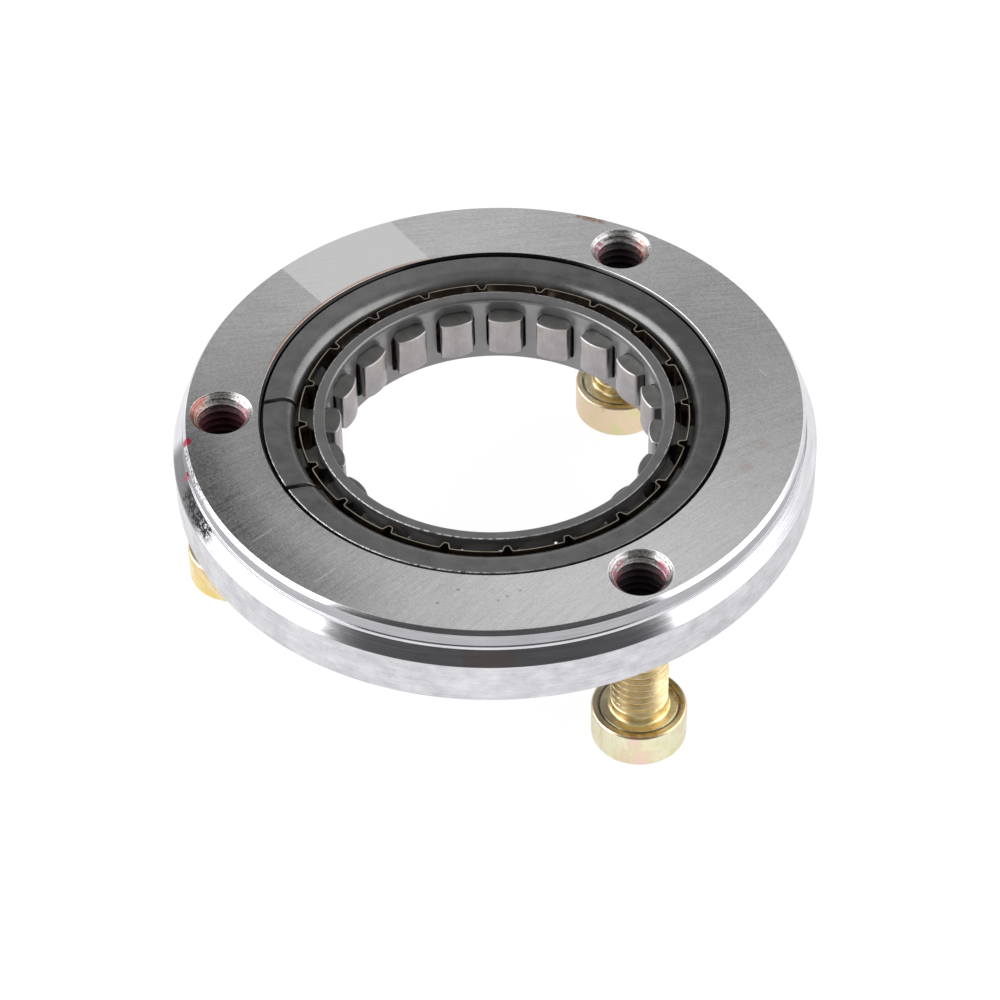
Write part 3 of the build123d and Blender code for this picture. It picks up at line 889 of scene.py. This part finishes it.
def zinc_finish(index, tint_low, tint_high):
    """Yellow passivated zinc: cream, pink and green-gold drift over each other in soft patches. It is
    darker and olive on the bearing face and brown towards its rim, near black in its groove as painted
    shade, and more golden on the shank."""
    material, shade, place, (x, y, z) = finish_named(f"zinc_{index + 1}")
    middle = polar(HOLE_CIRCLE_R, HOLE_ANGLES[index], 0.0)
    level = z * 0.12 + index * 7.0
    dx, dy = x - float(middle[0]), y - float(middle[1])
    r = (dx * dx + dy * dy).root()
    drift = vector(x * 0.18, y * 0.18, level).noise(1.0, 3.0, 0.55, 0.6)
    streak = vector(x * 0.9, y * 0.9, level).noise(1.0, 3.0, 0.6)
    blend = (drift * 0.75 + streak * 0.25).step(0.36, 0.64)
    tones = [(0.0, tint_low), (0.35, (0.90, 0.78, 0.53)), (0.6, tint_high), (1.0, (0.84, 0.80, 0.43))]
    skin = shade.node("ValToRGB", {"stops": tones}, {"Fac": blend})
    blotch = place.noise(0.45, 4.0, 0.65)
    olive = blotch.step(0.38, 0.62).mix((0.55, 0.36, 0.10), (1.0, 0.83, 0.42))
    olive = (r.soft(5.9, 6.5) * 0.6).mix(olive, (0.75, 0.52, 0.36))
    olive = (dx.soft(0.0, -5.0) * 0.5).mix(olive, (0.5, 0.52, 0.46))
    # Painted shade: the groove under the head is painted near black in patches.
    groove = r.soft(5.3, 5.4) * r.soft(5.75, 5.65) * blotch.soft(0.35, 0.55)
    olive = (groove * 0.85).mix(olive, (0.10, 0.10, 0.12))
    facing = z.step(HEAD_H - 0.32, HEAD_H - 0.2) 
    gold = blotch.step(0.3, 0.7).mix((0.60, 0.45, 0.22), (0.92, 0.77, 0.47))
    shank = z.step(HEAD_H + 0.15, HEAD_H + 0.35)
    colour = shank.mix(facing.mix(skin, olive), gold)
    fine = place.noise(4.0, 3.0, 0.6)
    rough = 0.24 + (fine - 0.5) * 0.15 + facing * 0.1 + shank * 0.02
    surface(shade, colour, rough, 1.0, fine, 0.008, 0.8)
    return material


ZINC_TINTS = (((0.97, 0.52, 0.36), (0.97, 0.76, 0.56)), ((0.85, 0.50, 0.14), (0.88, 0.68, 0.25)),
              ((0.97, 0.74, 0.66), (0.95, 0.91, 0.68)))
for index, (tint_low, tint_high) in enumerate(ZINC_TINTS):
    node = f"cap_screw_{index + 1}"
    screw = cap_screw(index)
    screw.data.materials.append(zinc_finish(index, tint_low, tint_high))
    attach(screw, node)
    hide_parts(node)


# ---- Camera ------------------------------------------------------------------------------
# It stands in front of the clutch and above it, and its frame is a little off the level.
ELEVATION = math.radians(44.508)
ROLL = math.radians(-1.348)
DISTANCE = 499.0
OFFSET = (-0.8353, 13.062)
LENS = 129.133

right = np.array([1.0, 0, 0])
back = np.array([0, -math.cos(ELEVATION), math.sin(ELEVATION)])
up = np.cross(back, right)
right, up = (math.cos(ROLL) * right + math.sin(ROLL) * up, math.cos(ROLL) * up - math.sin(ROLL) * right)
stand = back * DISTANCE - right * OFFSET[0] - up * OFFSET[1] + [0, 0, RING_TOP]
camera = bpy.data.objects.new("camera", bpy.data.cameras.new("camera"))
bpy.context.scene.collection.objects.link(camera)
camera.data.lens = LENS
camera.data.sensor_width = 36.0
camera.data.clip_start = 0.01
camera.data.clip_end = 20.0
turn = np.eye(4)
turn[:3, :4] = np.stack([right, up, back, stand * MM], -1)
camera.matrix_world = Matrix(turn.tolist())
bpy.context.scene.camera = camera


# ---- Floor, lamps and surroundings -------------------------------------------------------
# A white sweep of floor and a long soft strip at each side, the left one the stronger. The room
# behind the camera is dark, which is what draws the black bands on the turned steel.
def floor():
    """Flat white square under the object."""
    half = 3.0
    mesh = bpy.data.meshes.new("floor")
    corners = [(-half, -half, 0), (half, -half, 0), (half, half, 0), (-half, half, 0)]
    mesh.from_pydata(corners, [], [(0, 1, 2, 3)])
    made = bpy.data.objects.new("floor", mesh)
    bpy.context.scene.collection.objects.link(made)
    material = bpy.data.materials.new("floor_white")
    material.use_nodes = True
    tree = material.node_tree
    tree.nodes.clear()
    shade = Shade(tree)
    paint = shade.node("BsdfDiffuse", None, {"Color": (0.92, 0.92, 0.92, 1)})
    white = shade.node("Emission", None, {"Color": (1, 1, 1, 1), "Strength": 1.05})
    seen = shade.node("LightPath", None, None, "Is Camera Ray")
    mirrored = shade.node("LightPath", None, None, "Is Glossy Ray")
    glow = shade.node("MixShader", None, {0: seen * 0.9 + mirrored * 0.45, 1: paint, 2: white})
    shade.node("OutputMaterial", None, {"Surface": glow})
    made.data.materials.append(material)
    return made


floor()


def lamp(name, place, aim, size, watts):
    """Soft box: a rectangular lamp at place that faces aim, in metres."""
    data = bpy.data.lights.new(name, "AREA")
    data.shape = "RECTANGLE"
    data.size, data.size_y = size
    data.energy = watts
    made = bpy.data.objects.new(name, data)
    bpy.context.scene.collection.objects.link(made)
    made.location = place
    made.rotation_mode = "QUATERNION"
    made.rotation_quaternion = (Vector(place) - Vector(aim)).to_track_quat("Z", "Y")
    return made


CENTRE = (0, 0, 0.02)
lamp("left_panel", (-0.92, -0.03, 0.43), CENTRE, (1.20, 0.80), 14.5)
lamp("right_panel", (0.89, 0.0, 0.46), CENTRE, (1.40, 0.95), 8.5)


def surroundings():
    """World: white to the camera; to the object, a dim room with a bright low band all round, a paler
    screen high at the back, and black behind the camera."""
    world = bpy.data.worlds.new("studio")
    bpy.context.scene.world = world
    world.use_nodes = True
    tree = world.node_tree
    tree.nodes.clear()
    shade = Shade(tree)
    ray = shade.node("TexCoord", None, None, "Generated")
    x, y, z = (shade.node("SeparateXYZ", None, {0: ray}, axis) for axis in "XYZ")
    front = (0 - y).soft(0.42, 0.72) * z.soft(0.95, 0.45)
    band = z.soft(0.32, 0.12)
    screen = (y * 0.713 + z * 0.701).soft(0.80, 0.94)
    level = 0.33 - front * 0.235 + band * (1 - front) * 0.6 + screen * 0.18
    seen = shade.node("LightPath", None, None, "Is Camera Ray")
    room = shade.node("Background", None, {"Color": (1, 1, 1, 1), "Strength": level})
    white = shade.node("Background", None, {"Color": (1, 1, 1, 1), "Strength": 1.0})
    mixed = shade.node("MixShader", None, {0: seen, 1: room, 2: white})
    shade.node("OutputWorld", None, {"Surface": mixed})


surroundings()
bpy.context.scene.view_settings.view_transform = "Standard"
